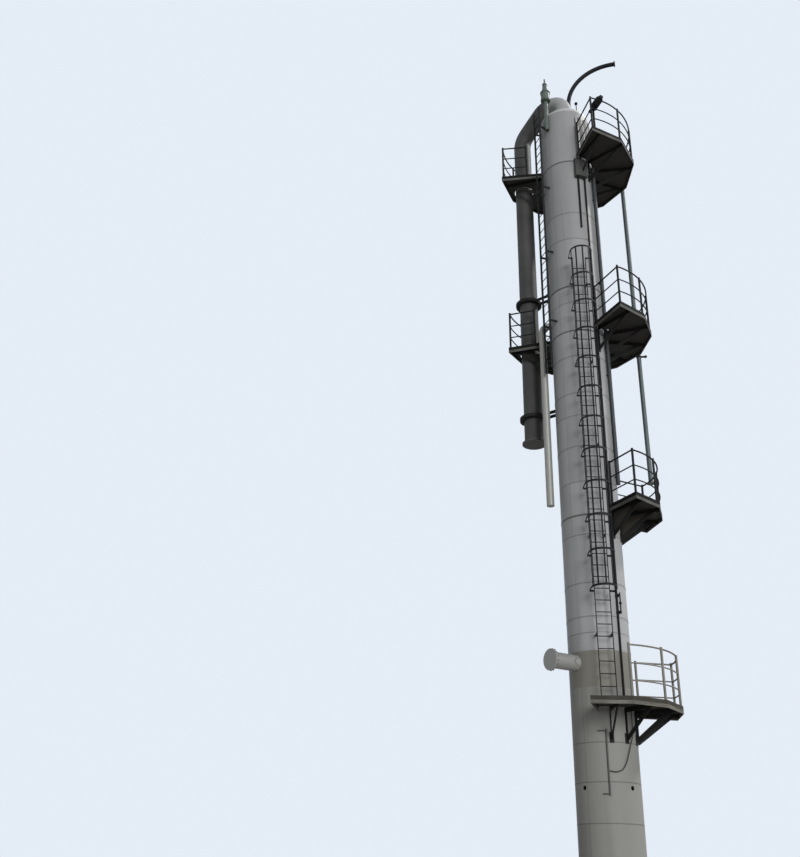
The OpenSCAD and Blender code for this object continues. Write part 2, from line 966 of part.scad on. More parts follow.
module return_nozzle() {
    r = return_d / 2;
    color("whitesmoke")
    difference() {
        union() {
            return_stub(r);
            rotate([0, 0, return_a])
                translate([vessel_in_r + return_len - 46, 0, return_z])
                    rotate([0, 90, 0])
                        cylinder(h = 46, r = r + 60);
        }
        cylinder(h = shell_top, r = vessel_r + seat);
    }
}

// Small lines

// An upright line from z0 to z1, held to the column by clips of width w, one each pitch
module clipped_line(r, a, z0, z1, d, w, pitch) {
    difference() {
        rotate([0, 0, a]) {
            translate([r, 0, z0])
                cylinder(h = z1 - z0, d = d);
            for (z = [z0 + 200 : pitch : z1 - 100])
                translate([shell_r - 20, -w / 2, z])
                    cube([r - shell_r + 20, w, 30]);
        }
        column_outline(seat);
    }
}

// Its head turns into the column just below the upper platform
module right_downpipe() {
    foot = small_z + 700;
    top = upper_z - 220;
    bury = 20;
    clip_pitch = 2900;
    first_clip = 200;
    last_clip = 500;
    color("dimgray")
    difference() {
        rotate([0, 0, down_a]) {
            translate([down_r, 0, foot])
                cylinder(h = top - foot, d = dark_d);
            translate([shell_r - bury, 0, top - dark_d])
                rotate([0, 90, 0])
                    cylinder(h = down_r - shell_r + bury, d = dark_d - 30);
            for (z = [foot + first_clip : clip_pitch : top - last_clip])
                translate([shell_r - bury, -20, z])
                    cube([down_r - shell_r + bury, 40, 30]);
        }
        column_outline(seat);
    }
}

module cable_conduits() {
    top = upper_z - 350;
    short_foot = shell_height(0.745);
    clip_w = 24;
    clip_pitch = 2500;
    short_pitch = 1900;
    color("darkslategray") {
        clipped_line(conduit_r, long_conduit_a, lower_z + toe_h, top, conduit_d, clip_w, clip_pitch);
        clipped_line(conduit_r, short_conduit_a, short_foot, top, conduit_d, clip_w, short_pitch);
    }
}

// A conduit on the skirt whose ends turn to the left
module skirt_conduit() {
    r = shell_r + 25;
    color("darkslategray") {
        clipped_line(r, skirt_line_a, skirt_line_foot, skirt_line_top, skirt_line_d, 20, 1000);
        for (q = [[skirt_line_foot, 11], [skirt_line_top, 14]])
            translate([0, 0, q[0] + (q[0] == skirt_line_foot ? skirt_line_d : -skirt_line_d)])
                rotate([0, 0, skirt_line_a - q[1]])
                    rotate_extrude(angle = q[1], $fn = 240)
                        translate([r, 0])
                            circle(d = skirt_line_d - 8);
    }
}

// A loose cable from the underside of the lower platform to the skirt conduit
module hanging_cable() {
    sides = 8;
    last = len(cable_path) - 1;
    path = [for (q = cable_path) polar(shell_r + q[1], q[0], skirt_h - q[2])];
    points = [
        for (i = [0 : last], k = [0 : sides - 1])
            let(along = path[min(i + 1, last)] - path[max(i - 1, 0)],
                out = polar(1, cable_path[i][0]),
                side = cross(along, out) / norm(cross(along, out)),
                up = cross(side, along) / norm(along),
                t = 360 * k / sides)
            path[i] + cable_d / 2 * (cos(t) * side + sin(t) * up)
    ];
    color("black")
    polyhedron(points, concat(
        [[for (k = [0 : sides - 1]) k]],
        [for (i = [0 : last - 1], k = [0 : sides - 1])
            let(n = (k + 1) % sides)
            [i * sides + k, (i + 1) * sides + k, (i + 1) * sides + n, i * sides + n]],
        [[for (k = [sides - 1 : -1 : 0]) last * sides + k]]
    ));
}

base_ring();
anchor_chairs();
skirt();
bottom_head();
pressure_shell();
sump_cladding();
lower_cladding();
middle_cladding();
upper_cladding();
top_head();
overhead_vapour_line();
riser_guides();
gooseneck_vent();
relief_valve();
upper_deck();
upper_edge();
upper_brackets();
upper_handrail();
platform_lamp();
middle_deck();
middle_edge();
middle_brackets();
middle_handrail();
small_deck();
small_edge();
small_brackets();
small_handrail();
lower_deck();
lower_edge();
lower_brackets();
lower_handrail();
main_ladder();
ladder_cage();
left_ladder();
reflux_line();
side_draw_line();
return_nozzle();
right_downpipe();
cable_conduits();
skirt_conduit();
hanging_cable();
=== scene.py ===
"""Looks for the distillation column: paint, seams, rust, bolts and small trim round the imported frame.

Metres, +Z up, the same frame as the CAD model. Azimuths are in degrees from +X, and -90 is the front.
"""

import json
import math

import bmesh
import bpy
from mathutils import Matrix, Vector

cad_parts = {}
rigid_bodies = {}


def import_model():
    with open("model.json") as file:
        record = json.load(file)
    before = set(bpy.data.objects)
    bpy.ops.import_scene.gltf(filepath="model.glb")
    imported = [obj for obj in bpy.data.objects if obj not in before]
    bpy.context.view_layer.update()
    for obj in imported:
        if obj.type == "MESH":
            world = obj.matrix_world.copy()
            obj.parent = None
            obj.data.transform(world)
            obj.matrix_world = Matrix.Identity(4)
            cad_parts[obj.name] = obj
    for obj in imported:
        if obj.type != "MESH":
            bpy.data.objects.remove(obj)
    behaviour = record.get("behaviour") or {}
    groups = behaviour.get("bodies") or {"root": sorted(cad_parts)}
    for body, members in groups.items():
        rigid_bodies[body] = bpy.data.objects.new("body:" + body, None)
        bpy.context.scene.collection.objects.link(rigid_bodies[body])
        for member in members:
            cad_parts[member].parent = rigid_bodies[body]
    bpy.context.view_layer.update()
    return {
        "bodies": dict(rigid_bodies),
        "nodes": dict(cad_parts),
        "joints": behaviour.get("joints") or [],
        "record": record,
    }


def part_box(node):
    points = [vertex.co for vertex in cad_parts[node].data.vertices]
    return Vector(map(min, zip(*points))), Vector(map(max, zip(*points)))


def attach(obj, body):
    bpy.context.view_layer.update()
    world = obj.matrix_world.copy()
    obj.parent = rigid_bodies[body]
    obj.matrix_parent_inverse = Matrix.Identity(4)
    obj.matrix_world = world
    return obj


# Camera, solved from the photo's upright and level lines: 23 m in front, at eye height, looking up
CAMERA_PLACE = Vector((0.0, -23.0, 1.6))
CAMERA_AZIMUTH = 12.06
CAMERA_PITCH = 25.876
CAMERA_ROLL = 1.5055
CAMERA_LENS = 40.33

FLOOR_SIZE = 300.0
# The floor lies this far under the foot, so that the two faces don't share a plane
FLOOR_DROP = 0.002

UP = Vector((0.0, 0.0, 1.0))
# How far the foot of a small piece reaches into what carries it
SUNK = 0.01

# The cladding: its radius, and the bands that lap its sheets
SHELL_R = 0.72
LAP_T = 0.005
LAP_HEIGHTS = (6.75, 7.5, 8.3, 10.0, 11.84, 13.35, 14.45, 15.7, 16.64, 18.22, 19.12, 20.99)
SCREW_PITCH = 0.16
SCREW_R = 0.006
SCREW_H = 0.004
SCREW_SUNK = 0.001
# Level joints of the sheets: those that gather dirt and show, and the faint ones
BOLD_JOINTS = (10.0, 15.22, 16.64, 20.99)
FAINT_JOINTS = (7.12, 7.5, 8.3, 9.5, 10.88, 11.84, 12.71, 13.35, 14.45, 16.12, 18.22, 19.12)
SKIRT_JOINTS = (3.05, 3.88, 4.70)
# Azimuth of one upright joint; the others are evenly spaced from it
UPRIGHT_JOINT_A = -128.0

# Each flange by the mount on its face: thickness, radius of its bolt circle, number of bolts and their size
FLANGES = {
    "riser_foot_face": (0.044, 0.275, 16, 0.020),
    "reflux_foot_face": (0.026, 0.085, 8, 0.012),
    "return_nozzle_face": (0.046, 0.237, 16, 0.018),
}
ANCHOR_NUT = 0.036

# The riser: its radius, and the straps round its cladding, from a little over its foot to the upper platform
RISER_R = 0.2565
STRAP_START = 0.6
STRAP_END = 21.9
STRAP_PITCH = 1.0
STRAP_W = 0.03
STRAP_T = 0.0025
STRAP_SUNK = 0.002

# Within this distance of the column's axis, the vapour line's elbow is nearly as pale as the head
ELBOW_R = 0.56

# The valved sample connection beside the ladder: its azimuth and reach, the heights of its two stubs, how far
# its upright pipe runs past them, and how high its valve sits over the lower one
SAMPLE_A = -49.0
SAMPLE_R = 0.85
SAMPLE_LEVELS = (7.60, 8.00)
SAMPLE_OVERRUN = 0.05
SAMPLE_VALVE_RISE = 0.2

# The plug on the left of the shell
PLUG_A = -142.0
PLUG_Z = 22.58

# The lamp's hood: its azimuth, its height over the deck, and the distances of its ends from the column's axis
LAMP_A = -60.0
LAMP_RISE = 0.99
LAMP_ENDS = (1.72, 2.05)
LAMP_R = 0.11

# The knob on the head
KNOB_R = 0.45
KNOB_A = -25.0
KNOB_FOOT = 23.0
KNOB_STALK_END = 23.66
KNOB_CENTRE = 23.67

# The clamp on the reflux line by the middle platform, its arm towards the platform, and its ear
REFLUX_PIPE_R = 0.06
CLAMP_Z = 15.33
CLAMP_GAP = 0.0005
CLAMP_T = 0.010
CLAMP_H = 0.05
ARM_ENDS = (0.065, 0.145)
EAR_START = 0.066
EAR_REACH = 0.12

# The cover over the tops of the conduits: its azimuths, and its heights with their distances from the axis
COVER_SPAN = (-73.0, -47.0)
COVER_STEPS = 14
COVER_PROFILE = ((20.38, 0.86), (20.95, 0.86), (21.04, 0.80))

# The crumpled sheet above the upper platform
CRUMPLED_SPAN = (-64.0, -22.0)
CRUMPLED_STEPS = 60
CRUMPLED_FOOT = 21.22
CRUMPLED_H = 1.45
CRUMPLED_ROWS = 30
# Its folds, of 180 degrees each: how far their creases stand off the shell, how deep they are, the degrees of
# fold to a degree of azimuth, and two waves that make them sway with height, as reach and radians a metre
FOLD_LIFT = 0.01
FOLD_DEPTH = 0.085
FOLD_RATE = 13.0
FOLD_SWAYS = ((33.6, 3.1), (12.0, 7.3))

# The small platform's knee brackets: their azimuths, the depth of the channel over them, and the corners of
# their openings, each as its distance from the column's axis and its height over the channel's underside
KNEE_AZIMUTHS = (-43.0, -14.0, 16.0)
CHANNEL_H = 0.101
KNEE_OPENING = ((0.770, 0.004), (1.385, 0.004), (0.770, -0.490))
WEB_T = 0.008

PLATFORMS = ("upper", "middle", "small", "lower")

# The backdrop, and the light from all round
BACKDROP = (0.78, 0.84, 0.92)
SKY_LIGHT = (0.93, 0.96, 1.0)
SKY_STRENGTH = 0.2

# Tones that more than one finish shares
GREY = (0.235, 0.235, 0.237)
BEIGE = (0.195, 0.192, 0.178)
HEAD_TONE = (0.36, 0.367, 0.358)
RUST = (0.13, 0.055, 0.025)
GRIME = (0.06, 0.055, 0.045)


def polar(radius, azimuth, z=0.0):
    """A point at that distance and azimuth from the column's axis."""
    a = math.radians(azimuth)
    return Vector((radius * math.cos(a), radius * math.sin(a), z))


# Camera, floor and light


def make_camera():
    """A camera turned by its azimuth, pitched up, then rolled about its own axis."""
    pitch = math.radians(CAMERA_PITCH)
    roll = math.radians(CAMERA_ROLL)
    forward = Vector((0.0, math.cos(pitch), math.sin(pitch)))
    up = Vector((0.0, -math.sin(pitch), math.cos(pitch)))
    right = Vector((1.0, 0.0, 0.0))
    rolled_up = math.cos(roll) * up - math.sin(roll) * right
    rolled_right = math.sin(roll) * up + math.cos(roll) * right
    turn = Matrix.Rotation(math.radians(CAMERA_AZIMUTH), 3, "Z")
    basis = Matrix((turn @ rolled_right, turn @ rolled_up, turn @ -forward)).transposed()
    data = bpy.data.cameras.new("camera")
    data.lens = CAMERA_LENS
    data.sensor_width = 36.0
    data.clip_end = 2.0 * FLOOR_SIZE
    camera = bpy.data.objects.new("camera", data)
    camera.matrix_world = Matrix.Translation(CAMERA_PLACE) @ basis.to_4x4()
    bpy.context.scene.collection.objects.link(camera)
    bpy.context.scene.camera = camera


def make_sun(name, azimuth, elevation, strength, softness, tint):
    """A sun lamp that shines from that azimuth and height; softness is its width in degrees."""
    data = bpy.data.lights.new(name, "SUN")
    data.energy = strength
    data.angle = math.radians(softness)
    data.color = tint
    lamp = bpy.data.objects.new(name, data)
    source = polar(math.cos(math.radians(elevation)), azimuth, math.sin(math.radians(elevation)))
    lamp.rotation_euler = source.to_track_quat("Z", "Y").to_euler()
    bpy.context.scene.collection.objects.link(lamp)


def make_world():
    """A pale backdrop for the camera and for what mirrors it or lets it through, and a soft even light."""
    world = bpy.data.worlds.new("world")
    world.use_nodes = True
    bpy.context.scene.world = world
    tree = world.node_tree
    tree.nodes.clear()
    path = tree.nodes.new("ShaderNodeLightPath")
    shown = maths(tree, "ADD", path.outputs["Is Camera Ray"], path.outputs["Is Transmission Ray"])
    shown = maths(tree, "ADD", shown, path.outputs["Is Glossy Ray"])
    seen = add(tree, "ShaderNodeBackground", Color=BACKDROP, Strength=1.0)
    light = add(tree, "ShaderNodeBackground", Color=SKY_LIGHT, Strength=SKY_STRENGTH)
    blend = tree.nodes.new("ShaderNodeMixShader")
    tree.links.new(shown, blend.inputs[0])
    tree.links.new(light.outputs[0], blend.inputs[1])
    tree.links.new(seen.outputs[0], blend.inputs[2])
    out = tree.nodes.new("ShaderNodeOutputWorld")
    tree.links.new(blend.outputs[0], out.inputs["Surface"])


def make_floor():
    """A wide pale floor under the column."""
    half = FLOOR_SIZE / 2
    corners = [(x, y, -FLOOR_DROP) for x, y in ((-half, -half), (half, -half), (half, half), (-half, half))]
    mesh = bpy.data.meshes.new("floor")
    mesh.from_pydata(corners, [], [(0, 1, 2, 3)])
    floor = bpy.data.objects.new("floor", mesh)
    bpy.context.scene.collection.objects.link(floor)
    material, tree, shader = new_material("floor", (0.52, 0.52, 0.51), 0.9)
    speckle = span(tree, noise(tree, 3.0, detail=4.0), 0.3, 0.7)
    colour(tree, shader, mix(tree, speckle, (0.49, 0.49, 0.48), (0.55, 0.55, 0.54)))
    mesh.materials.append(material)


# Nodes of the materials


def add(tree, kind, settings=None, **inputs):
    """A node with its settings and inputs; an input is a number, a colour or another node's output."""
    made = tree.nodes.new(kind)
    for key, value in (settings or {}).items():
        setattr(made, key, value)
    for key, value in inputs.items():
        connect(tree, made.inputs[key.replace("_", " ")], value)
    return made


def connect(tree, socket, value):
    """Links an output to the socket, or sets the socket's own value."""
    if isinstance(value, bpy.types.NodeSocket):
        tree.links.new(value, socket)
    elif isinstance(value, (tuple, list)) and len(value) == 3 and socket.type == "RGBA":
        socket.default_value = (*value, 1.0)
    else:
        socket.default_value = value


def new_material(name, base, rough, metal=0.0, gloss=0.5):
    """A material with one shader; constant values sit on the shader's own sockets."""
    material = bpy.data.materials.new(name)
    material.use_nodes = True
    tree = material.node_tree
    shader = tree.nodes["Principled BSDF"]
    shader.inputs["Base Color"].default_value = (*base, 1.0)
    shader.inputs["Roughness"].default_value = rough
    shader.inputs["Metallic"].default_value = metal
    shader.inputs["Specular IOR Level"].default_value = gloss
    return material, tree, shader


def surface(tree):
    """The surface's place in the row frame, in metres."""
    return tree.nodes.new("ShaderNodeTexCoord").outputs["Object"]


def place(tree, stretch=(1.0, 1.0, 1.0), shift=0.0):
    """The surface's place, stretched, and shifted so that two materials don't show the same pattern."""
    mapping = add(tree, "ShaderNodeMapping", Vector=surface(tree))
    mapping.inputs["Scale"].default_value = stretch
    mapping.inputs["Location"].default_value = (shift, shift * 0.7, shift * 1.3)
    return mapping.outputs[0]


def noise(tree, scale, detail=3.0, roughness=0.55, stretch=(1.0, 1.0, 1.0), shift=0.0):
    """Noise of that many spots to the metre."""
    where = place(tree, stretch, shift)
    made = add(tree, "ShaderNodeTexNoise", Vector=where, Scale=scale, Detail=detail, Roughness=roughness)
    return made.outputs[0]


def span(tree, value, low, high):
    """Stretches low..high to 0..1 and clamps."""
    made = add(tree, "ShaderNodeMapRange", Value=value, From_Min=low, From_Max=high)
    return made.outputs[0]


def maths(tree, operation, first, second=0.0, third=0.0):
    """The result of one Math node."""
    made = add(tree, "ShaderNodeMath", {"operation": operation})
    for socket, value in zip(made.inputs, (first, second, third)):
        connect(tree, socket, value)
    return made.outputs[0]


def mix(tree, share, first, second):
    """Mixes two colours; the node's colour sockets are its inputs 6 and 7 and its output 2."""
    made = add(tree, "ShaderNodeMix", {"data_type": "RGBA"})
    connect(tree, made.inputs[0], share)
    connect(tree, made.inputs[6], first)
    connect(tree, made.inputs[7], second)
    return made.outputs[2]


def colour(tree, shader, value):
    """Gives the shader its colour."""
    connect(tree, shader.inputs["Base Color"], value)


def roughen(tree, shader, rough, grain, depth):
    """Lets the shader's roughness follow the grain, from a little below rough to depth above that."""
    followed = maths(tree, "MULTIPLY", grain, depth)
    connect(tree, shader.inputs["Roughness"], maths(tree, "ADD", followed, rough - 0.08))


def relief(tree, shader, height, depth):
    """Gives the shader a bump of that depth in metres."""
    bump = add(tree, "ShaderNodeBump", Height=height, Strength=0.6, Distance=depth)
    tree.links.new(bump.outputs[0], shader.inputs["Normal"])


def shade(tint, factor):
    """The colour made lighter or darker."""
    return tuple(min(1.0, part * factor) for part in tint)


def near_axis(tree, radius):
    """1 where the surface lies within that radius of the column's axis, else 0."""
    flat = add(tree, "ShaderNodeVectorMath", {"operation": "MULTIPLY"}, Vector=surface(tree))
    flat.inputs[1].default_value = (1.0, 1.0, 0.0)
    length = add(tree, "ShaderNodeVectorMath", {"operation": "LENGTH"}, Vector=flat.outputs[0])
    return maths(tree, "LESS_THAN", length.outputs["Value"], radius)


def lines(tree, height, places, half):
    """1 within half of any of the places, else 0."""
    total = 0.0
    for value in places:
        total = maths(tree, "ADD", maths(tree, "COMPARE", height, value, half), total)
    return total


# Finishes


def painted(name, base, rough, metal=0.0, blotch=0.2, streak=0.2, rust=0.0, shift=0.0, gloss=0.5, core=None):
    """Outdoor paint with blotches, rain streaks, rust spots and a fine orange peel.

    Core is a radius and the other tone that the paint has within that distance of the column's axis.
    """
    material, tree, shader = new_material(name, base, rough, metal, gloss)
    grime = tuple(min(dirt, 0.6 * own) for dirt, own in zip(GRIME, base))
    broad = span(tree, noise(tree, 0.9, detail=4.0, shift=shift), 0.3, 0.7)
    tone = mix(tree, broad, shade(base, 1.0 - blotch), shade(base, 1.0 + blotch))
    runs = noise(tree, 1.0, detail=5.0, stretch=(9.0, 9.0, 0.45), shift=shift + 3.0)
    tone = mix(tree, maths(tree, "MULTIPLY", span(tree, runs, 0.5, 0.8), streak), tone, grime)
    if rust:
        spots = noise(tree, 7.0, detail=6.0, roughness=0.7, shift=shift + 9.0)
        tone = mix(tree, span(tree, spots, 0.72 - 0.25 * rust, 0.78 - 0.2 * rust), tone, RUST)
    if core:
        radius, pale = core
        tone = mix(tree, near_axis(tree, radius), tone, mix(tree, broad, shade(pale, 0.9), pale))
    colour(tree, shader, tone)
    fine = noise(tree, 70.0, detail=2.0, shift=shift)
    roughen(tree, shader, rough, span(tree, fine, 0.2, 0.8), 0.22)
    relief(tree, shader, fine, 0.0015)
    return material


def unrolled(tree, sheets):
    """The height, and the turn about the column's axis, counted in sheets from one upright joint."""
    split = add(tree, "ShaderNodeSeparateXYZ", Vector=surface(tree))
    turn = maths(tree, "ARCTAN2", split.outputs["Y"], split.outputs["X"])
    turn = maths(tree, "MULTIPLY", turn, sheets / (2.0 * math.pi))
    turn = maths(tree, "SUBTRACT", turn, UPRIGHT_JOINT_A * sheets / 360.0)
    return split.outputs["Z"], turn


def sheet_tints(tree, base, height, turn, joints):
    """The base tone, a little lighter or darker from sheet to sheet."""
    course = 0.0
    for value in joints:
        course = maths(tree, "ADD", maths(tree, "GREATER_THAN", height, value), course)
    tag = maths(tree, "ADD", maths(tree, "MULTIPLY", course, 3.7), maths(tree, "FLOOR", turn))
    tint = add(tree, "ShaderNodeTexWhiteNoise", {"noise_dimensions": "1D"}, W=tag).outputs[0]
    return mix(tree, tint, shade(base, 0.94), shade(base, 1.06))


def sheet_joints(tree, height, turn, bold, faint):
    """How dark the joints between the sheets are, from 0 between them; the bold ones are also wider."""
    across = maths(tree, "ABSOLUTE", maths(tree, "SUBTRACT", maths(tree, "FRACT", turn), 0.5))
    upright = maths(tree, "MULTIPLY", span(tree, across, 0.4955, 0.4985), 0.4)
    level = maths(tree, "MULTIPLY", lines(tree, height, faint, 0.012), 0.5)
    dark = maths(tree, "MULTIPLY", lines(tree, height, bold, 0.022), 0.85)
    return maths(tree, "MAXIMUM", maths(tree, "MAXIMUM", upright, level), dark)


def sheet_metal(name, base, rough, metal=0.0, shift=0.0, bold=(), faint=(), sheets=3, bore=0.0):
    """Plates or cladding sheets with dark joints and rain streaks; inside the bore they are bare and near
    black with painted shade.
    """
    material, tree, shader = new_material(name, base, rough, metal, gloss=0.2)
    height, turn = unrolled(tree, sheets)
    tone = sheet_tints(tree, base, height, turn, bold + faint)
    broad = noise(tree, 0.8, detail=5.0, shift=shift)
    tone = mix(tree, maths(tree, "MULTIPLY", span(tree, broad, 0.45, 0.75), 0.3), tone, shade(base, 0.78))
    runs = noise(tree, 1.0, detail=4.0, stretch=(6.0, 6.0, 0.3), shift=shift + 5.0)
    tone = mix(tree, maths(tree, "MULTIPLY", span(tree, runs, 0.55, 0.85), 0.25), tone, GRIME)
    joint = sheet_joints(tree, height, turn, bold, faint)
    tone = mix(tree, joint, tone, GRIME)
    # Near black inside the bore: bare steel, and painted shade in the hollow.
    if bore:
        tone = mix(tree, near_axis(tree, bore), tone, (0.02, 0.018, 0.016))
    colour(tree, shader, tone)
    fine = noise(tree, 35.0, detail=3.0, shift=shift)
    roughen(tree, shader, rough, span(tree, fine, 0.25, 0.75), 0.16)
    dents = noise(tree, 1.6, detail=2.0, stretch=(1.0, 1.0, 0.6), shift=shift)
    relief(tree, shader, maths(tree, "SUBTRACT", dents, maths(tree, "MULTIPLY", joint, 0.4)), 0.008)
    return material


def edge_plate(name, board_paint_and_shade_tone, flange_tone, level):
    """The edge of a platform: a dusty toe board above the level, dark with its paint and painted shade, and
    the paler flange below it.
    """
    material, tree, shader = new_material(name, flange_tone, 0.75, gloss=0.06)
    height = add(tree, "ShaderNodeSeparateXYZ", Vector=surface(tree)).outputs["Z"]
    dirt = noise(tree, 3.0, detail=5.0, roughness=0.65, stretch=(1.0, 1.0, 3.0), shift=level)
    flange = mix(tree, span(tree, dirt, 0.35, 0.75), flange_tone, shade(flange_tone, 0.45))
    # The toe board's dark tone is its paint with painted shade on it; the noise lightens it with dust.
    board = mix(tree, span(tree, dirt, 0.4, 0.7), board_paint_and_shade_tone, shade(board_paint_and_shade_tone, 1.4))
    colour(tree, shader, mix(tree, maths(tree, "GREATER_THAN", height, level), flange, board))
    relief(tree, shader, noise(tree, 60.0, detail=2.0), 0.0015)
    return material


def chequer(name, base):
    """Deck plate with raised diamonds on top, and rust."""
    material, tree, shader = new_material(name, base, 0.7, gloss=0.1)
    diagonal = place(tree, (28.0, 28.0, 0.0))
    bars = add(tree, "ShaderNodeTexVoronoi", {"feature": "DISTANCE_TO_EDGE"}, Vector=diagonal, Scale=1.0)
    raised = span(tree, bars.outputs[0], 0.05, 0.14)
    spots = noise(tree, 2.2, detail=6.0, roughness=0.65)
    tone = mix(tree, span(tree, spots, 0.45, 0.75), base, (0.035, 0.027, 0.021))
    colour(tree, shader, mix(tree, maths(tree, "MULTIPLY", raised, 0.25), tone, shade(base, 1.5)))
    relief(tree, shader, raised, 0.003)
    return material


def rubber(name, base):
    """Dull cable rubber with dust on it."""
    material, tree, shader = new_material(name, base, 0.7)
    dust = noise(tree, 14.0, detail=4.0)
    colour(tree, shader, mix(tree, span(tree, dust, 0.45, 0.8), base, shade(base, 2.2)))
    relief(tree, shader, noise(tree, 220.0, detail=2.0), 0.0006)
    return material


# Shapes of the small pieces


def ring_point(radius, index, sides, z):
    """A corner of a regular polygon."""
    a = 2.0 * math.pi * index / sides
    return Vector((radius * math.cos(a), radius * math.sin(a), z))


def frame_at(centre, axis):
    """A frame on centre whose Z axis points along axis."""
    return Matrix.Translation(centre) @ Vector(axis).to_track_quat("Z", "Y").to_matrix().to_4x4()


def join_rings(mesh, near, far):
    """Adds the faces between two closed rings of points."""
    for i in range(len(near)):
        j = (i + 1) % len(near)
        mesh.faces.new((near[i], near[j], far[j], far[i]))


def loft(mesh, outlines):
    """Adds a closed solid through outlines that all have the same number of points."""
    rings = [[mesh.verts.new(point) for point in outline] for outline in outlines]
    mesh.faces.new(list(reversed(rings[0])))
    mesh.faces.new(rings[-1])
    for near, far in zip(rings, rings[1:]):
        join_rings(mesh, near, far)


def prism(mesh, frame, radius, height, sides, top=1.0):
    """Adds an upright prism on the frame's origin; top is the upper radius as a share of the lower."""
    loft(mesh, [
        [frame @ ring_point(radius * share, i, sides, z) for i in range(sides)]
        for share, z in ((1.0, 0.0), (top, height))
    ])


def band(mesh, frame, inner, outer, height, sides=48):
    """Adds a flat ring round the frame's Z axis."""
    loops = []
    for radius, z in ((inner, 0.0), (outer, 0.0), (outer, height), (inner, height)):
        loops.append([mesh.verts.new(frame @ ring_point(radius, i, sides, z)) for i in range(sides)])
    for near, far in zip(loops, loops[1:] + loops[:1]):
        join_rings(mesh, near, far)


def tube(mesh, start, end, radius, sides=12):
    """Adds a straight round bar."""
    prism(mesh, frame_at(start, end - start), radius, (end - start).length, sides)


def ball(mesh, centre, radius):
    """Adds a ball."""
    spot = Matrix.Translation(centre)
    bmesh.ops.create_uvsphere(mesh, u_segments=16, v_segments=10, radius=radius, matrix=spot)


def bolt(mesh, frame, size):
    """Adds a washer, a nut and the end of its stud; size is the nut's radius over its corners."""
    washer_h = size * 0.22
    nut_h = size * 0.85
    prism(mesh, frame, size * 1.25, washer_h, sides=16)
    prism(mesh, frame @ Matrix.Translation(UP * washer_h), size, nut_h, sides=6)
    stud = Matrix.Translation(UP * (washer_h + nut_h))
    prism(mesh, frame @ stud, size * 0.52, size * 0.55, sides=10, top=0.8)


def bolt_ring(mesh, centre, axis, radius, count, size):
    """Adds bolts round a flange; the first sits half a step off the frame's X axis."""
    base = frame_at(centre, axis)
    for i in range(count):
        bolt(mesh, base @ Matrix.Translation(ring_point(radius, i + 0.5, count, 0.0)), size)


def shell_patch(azimuths, radii, z):
    """The outline at height z of a sheet on the shell, with its radius at each azimuth."""
    outer = [polar(radius, azimuth, z) for radius, azimuth in zip(radii, azimuths)]
    inner = [polar(SHELL_R - SUNK, azimuth, z) for azimuth in reversed(azimuths)]
    return outer + inner


def spread(first, last, steps):
    """Evenly spaced values from the first to the last."""
    return [first + (last - first) * i / steps for i in range(steps + 1)]


def finish_piece(name, mesh, material, smooth=False):
    """Turns the gathered faces into a piece of the column."""
    data = bpy.data.meshes.new(name)
    bmesh.ops.recalc_face_normals(mesh, faces=mesh.faces)
    mesh.to_mesh(data)
    mesh.free()
    data.materials.append(material)
    if smooth:
        data.shade_smooth()
    piece = bpy.data.objects.new(name, data)
    bpy.context.scene.collection.objects.link(piece)
    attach(piece, "root")


# Nuts, screws and straps


def make_anchor_nuts(anchors, steel):
    """A nut on each anchor chair."""
    mesh = bmesh.new()
    chair_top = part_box("anchor_chairs")[1][2]
    circle_r = anchors["dims"]["pcd_mm"] / 2000.0
    bolt_ring(mesh, UP * chair_top, UP, circle_r, anchors["dims"]["count"], ANCHOR_NUT)
    finish_piece("anchor_nuts", mesh, steel)


def make_flange_nuts(mounts, steel):
    """The nuts on the back of each flange."""
    mesh = bmesh.new()
    for name, (thickness, radius, count, size) in FLANGES.items():
        inward = -Vector(mounts[name]["axis"])
        centre = Vector(mounts[name]["pos_m"]) + thickness * inward
        bolt_ring(mesh, centre, inward, radius, count, size)
    finish_piece("flange_nuts", mesh, steel)


def make_lap_screws(bright):
    """The screws of the bands that lap the cladding sheets."""
    mesh = bmesh.new()
    count = round(2.0 * math.pi * SHELL_R / SCREW_PITCH)
    for z in LAP_HEIGHTS:
        for i in range(count):
            azimuth = 360.0 * i / count
            seat = polar(SHELL_R + LAP_T - SCREW_SUNK, azimuth, z)
            prism(mesh, frame_at(seat, polar(1.0, azimuth)), SCREW_R, SCREW_H, sides=8, top=0.7)
    finish_piece("lap_screws", mesh, bright)


def make_riser_straps(foot, dark):
    """The straps round the riser's cladding, from its foot up to the upper platform."""
    mesh = bmesh.new()
    z = foot.z + STRAP_START
    while z < STRAP_END:
        band(mesh, frame_at((foot.x, foot.y, z), UP), RISER_R - STRAP_SUNK, RISER_R + STRAP_T, STRAP_W)
        z += STRAP_PITCH
    finish_piece("riser_straps", mesh, dark)


# Fittings


def make_sample_fitting(paint):
    """Two stubs with flange rings on the shell, and an upright pipe with a ball valve between their ends."""
    mesh = bmesh.new()
    low, high = (polar(SAMPLE_R, SAMPLE_A, z) for z in SAMPLE_LEVELS)
    for end in (low, high):
        tube(mesh, polar(SHELL_R - SUNK, SAMPLE_A, end.z), end, radius=0.022)
        ring = frame_at(polar(SHELL_R + 0.04, SAMPLE_A, end.z), polar(1.0, SAMPLE_A))
        band(mesh, ring, inner=0.020, outer=0.050, height=0.014, sides=20)
    tube(mesh, low - SAMPLE_OVERRUN * UP, high + SAMPLE_OVERRUN * UP, radius=0.016)
    ball(mesh, low + SAMPLE_VALVE_RISE * UP, radius=0.035)
    finish_piece("sample_fitting", mesh, paint, smooth=True)


def make_shell_plug(paint):
    """A short capped stub."""
    mesh = bmesh.new()
    tube(mesh, polar(SHELL_R - SUNK, PLUG_A, PLUG_Z), polar(SHELL_R + 0.05, PLUG_A, PLUG_Z), 0.035, sides=16)
    finish_piece("shell_plug", mesh, paint)


